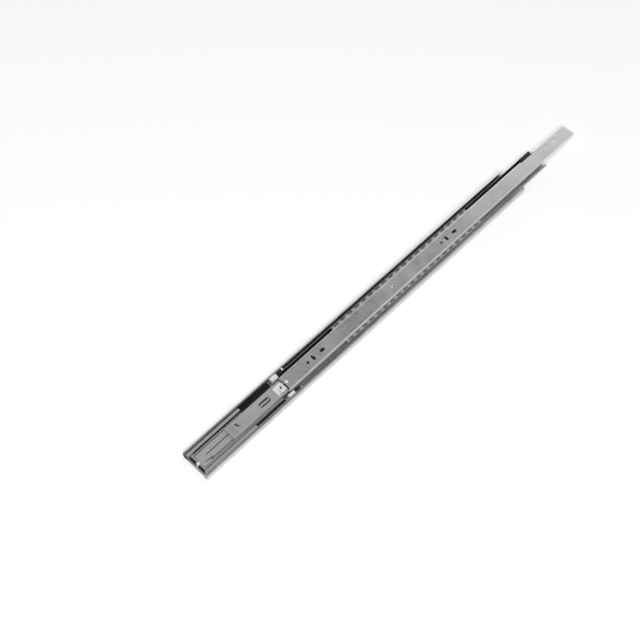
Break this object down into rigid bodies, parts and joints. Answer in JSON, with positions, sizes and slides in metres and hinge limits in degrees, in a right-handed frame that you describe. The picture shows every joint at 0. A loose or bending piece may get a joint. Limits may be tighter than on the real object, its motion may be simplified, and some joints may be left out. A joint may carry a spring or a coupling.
{
  "type": "cabinet drawer slide",
  "caption": "Full-extension ball-bearing drawer slide in three nested steel rails, with ball cages, soft-close unit and release lever.",
  "frame": {"origin": "on the cabinet rail's mounting face, midway along the rail and midway across it", "axes": "+X along the slide towards the drawer front, +Y across it, +Z from the cabinet side towards the drawer"},
  "size_m": [0.724, 0.045, 0.0127],
  "materials": {
    "zinc_steel": "bright zinc plate over rolled steel, fine lengthwise grain",
    "cage_steel": "thin bright strip steel",
    "ball_steel": "polished, lightly greased balls",
    "rivet_steel": "bright steel",
    "spring_steel": "zinc plated spring wire",
    "grey_plastic": "moulded grey acetal",
    "white_plastic": "moulded natural acetal",
    "black_plastic": "moulded black nylon",
    "damper_plastic": "smooth grey damper barrel",
    "black_rubber": "soft black rubber"
  },
  "bodies": {
    "cabinet_member": {"cabinet_rail": "zinc_steel", "soft_close_base": "grey_plastic", "base_clip": "white_plastic", "rear_stop_left": "black_rubber", "rear_stop_right": "black_rubber", "guide_strip_left": "black_plastic", "guide_strip_right": "black_plastic", "damper_cylinder": "damper_plastic", "damper_cap": "black_plastic", "closing_spring": "spring_steel"},
    "closing_carriage": {"carriage_plate": "grey_plastic", "catch_pin": "rivet_steel", "damper_rod": "rivet_steel", "damper_piston": "white_plastic"},
    "catch": {"catch_hook": "white_plastic"},
    "intermediate_member": {"intermediate_rail": "zinc_steel", "hold_out_stop": "black_plastic", "rear_glide_left": "white_plastic", "rear_glide_right": "white_plastic", "rear_buffer_left": "black_rubber", "rear_buffer_right": "black_rubber", "front_buffer_left": "black_rubber", "front_buffer_right": "black_rubber"},
    "drawer_member": {"drawer_rail": "zinc_steel", "striker_rivet": "white_plastic", "lever_pivot_rivet": "rivet_steel"},
    "lever": {"release_lever": "black_plastic"},
    "inner_ball_cage": {"inner_cage_left": "cage_steel", "inner_cage_right": "cage_steel", "inner_balls_left": "ball_steel", "inner_balls_right": "ball_steel"},
    "outer_ball_cage": {"outer_cage_left": "cage_steel", "outer_cage_right": "cage_steel", "outer_balls_left": "ball_steel", "outer_balls_right": "ball_steel"}
  },
  "joints": [
    {"name": "intermediate_slide", "type": "slide", "parent": "cabinet_member", "child": "intermediate_member", "axis": [1, 0, 0], "range_m": [-0.055, 0.235]},
    {"name": "drawer_slide", "type": "slide", "parent": "intermediate_member", "child": "drawer_member", "axis": [1, 0, 0], "range_m": [-0.069, 0.196]},
    {"name": "outer_cage_slide", "type": "slide", "parent": "cabinet_member", "child": "outer_ball_cage", "axis": [1, 0, 0], "range_m": [-0.0275, 0.1175]},
    {"name": "inner_cage_slide", "type": "slide", "parent": "intermediate_member", "child": "inner_ball_cage", "axis": [1, 0, 0], "range_m": [-0.0345, 0.098]},
    {"name": "carriage_slide", "type": "slide", "parent": "cabinet_member", "child": "closing_carriage", "axis": [1, 0, 0], "range_m": [-0.055, 0], "deforming": ["closing_spring"]},
    {"name": "catch_tilt", "type": "hinge", "parent": "closing_carriage", "child": "catch", "pos_m": [-0.158, 0, 0.0077], "axis": [0, 1, 0], "range_deg": [0, 6]},
    {"name": "lever_pivot", "type": "hinge", "parent": "drawer_member", "child": "lever", "pos_m": [0.307, 0, 0.01], "axis": [0, 0, 1], "range_deg": [-2.5, 0], "stiffness_Nm_per_rad": 0.5}
  ],
  "couplings": [
    {"joint": "outer_cage_slide", "follows": "intermediate_slide", "ratio": 0.5},
    {"joint": "inner_cage_slide", "follows": "drawer_slide", "ratio": 0.5}
  ]
}
